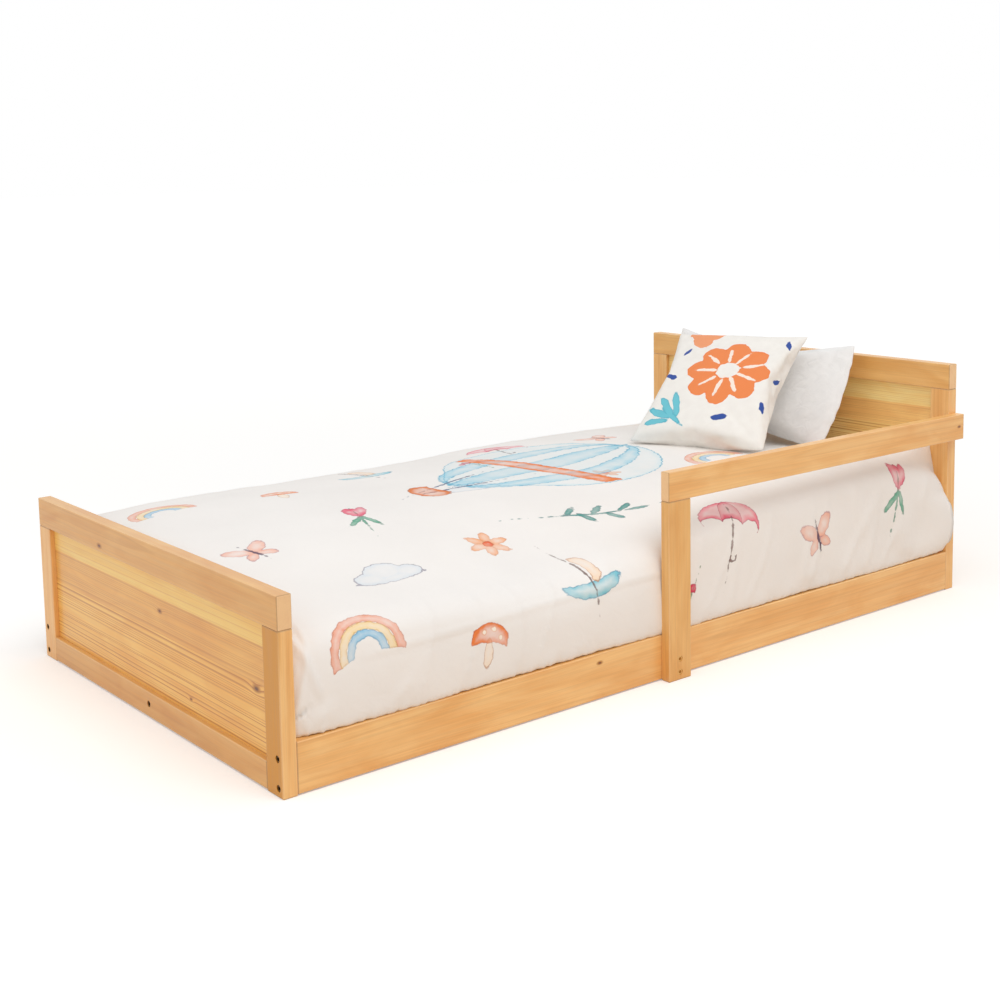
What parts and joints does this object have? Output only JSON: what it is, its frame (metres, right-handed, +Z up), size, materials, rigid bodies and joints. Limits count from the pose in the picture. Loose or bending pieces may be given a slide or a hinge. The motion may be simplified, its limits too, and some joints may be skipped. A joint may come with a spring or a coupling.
{
  "type": "toddler floor bed",
  "caption": "Low wooden toddler bed with framed panel ends, a half-length side guard, quilted mattress, pillow and throw cushion.",
  "frame": {"origin": "on the floor, in the middle of the bounding box of the bed with its guard", "axes": "+X from the foot to the head, +Y from the guarded side to the far side, +Z up"},
  "size_m": [1.5, 0.818, 0.4804],
  "materials": {
    "frame_wood": "clear-oiled alder, straight grain, satin",
    "panel_wood": "clear-oiled cedar boards, yellow and brown, strong straight grain, satin",
    "slat_wood": "planed pine, unfinished",
    "dowel_wood": "fluted beech",
    "zinc_steel": "yellow zinc-plated steel",
    "quilt_cotton": "printed cotton, off-white ground",
    "mattress_ticking": "knitted ticking over foam",
    "pillow_cotton": "plain white cotton",
    "cushion_cotton": "printed cotton, off-white ground"
  },
  "bodies": {
    "frame": {"beam_barrel_nuts": "zinc_steel", "beam_bolts": "zinc_steel", "centre_beam": "slat_wood", "foot_bottom_rail": "frame_wood", "foot_corner_barrel_nuts": "zinc_steel", "foot_corner_bolts": "zinc_steel", "foot_frame_dowels": "dowel_wood", "foot_panel_board_1": "panel_wood", "foot_panel_board_2": "panel_wood", "foot_panel_board_3": "panel_wood", "foot_panel_board_4": "panel_wood", "foot_stile_far": "frame_wood", "foot_stile_near": "frame_wood", "foot_top_rail": "frame_wood", "guard_bolts": "zinc_steel", "guard_dowels": "dowel_wood", "guard_post": "frame_wood", "guard_rail": "frame_wood", "guard_threaded_inserts": "zinc_steel", "head_bottom_rail": "frame_wood", "head_corner_barrel_nuts": "zinc_steel", "head_corner_bolts": "zinc_steel", "head_frame_dowels": "dowel_wood", "head_panel_board_1": "panel_wood", "head_panel_board_2": "panel_wood", "head_panel_board_3": "panel_wood", "head_panel_board_4": "panel_wood", "head_panel_board_5": "panel_wood", "head_panel_board_6": "panel_wood", "head_panel_board_7": "panel_wood", "head_panel_board_8": "panel_wood", "head_stile_far": "frame_wood", "head_stile_near": "frame_wood", "head_top_rail": "frame_wood", "ledger_far": "slat_wood", "ledger_near": "slat_wood", "ledger_screws": "zinc_steel", "side_rail_far": "frame_wood", "side_rail_near": "frame_wood", "slat_01": "slat_wood", "slat_02": "slat_wood", "slat_03": "slat_wood", "slat_04": "slat_wood", "slat_05": "slat_wood", "slat_06": "slat_wood", "slat_07": "slat_wood", "slat_08": "slat_wood", "slat_09": "slat_wood", "slat_10": "slat_wood", "slat_11": "slat_wood", "slat_12": "slat_wood", "slat_screws": "zinc_steel"},
    "bedding": {"mattress": "mattress_ticking", "quilt": "quilt_cotton"},
    "pillow": {"pillow": "pillow_cotton"},
    "cushion": {"cushion": "cushion_cotton"}
  },
  "joints": [
    {"name": "mattress_lift", "type": "slide", "parent": "frame", "child": "bedding", "axis": [0, 0, 1], "range_m": [0, 0.4]},
    {"name": "pillow_lift", "type": "slide", "parent": "bedding", "child": "pillow", "axis": [0, 0, 1], "range_m": [0, 0.25]},
    {"name": "cushion_lift", "type": "slide", "parent": "pillow", "child": "cushion", "axis": [0, 0, 1], "range_m": [0, 0.3]}
  ]
}
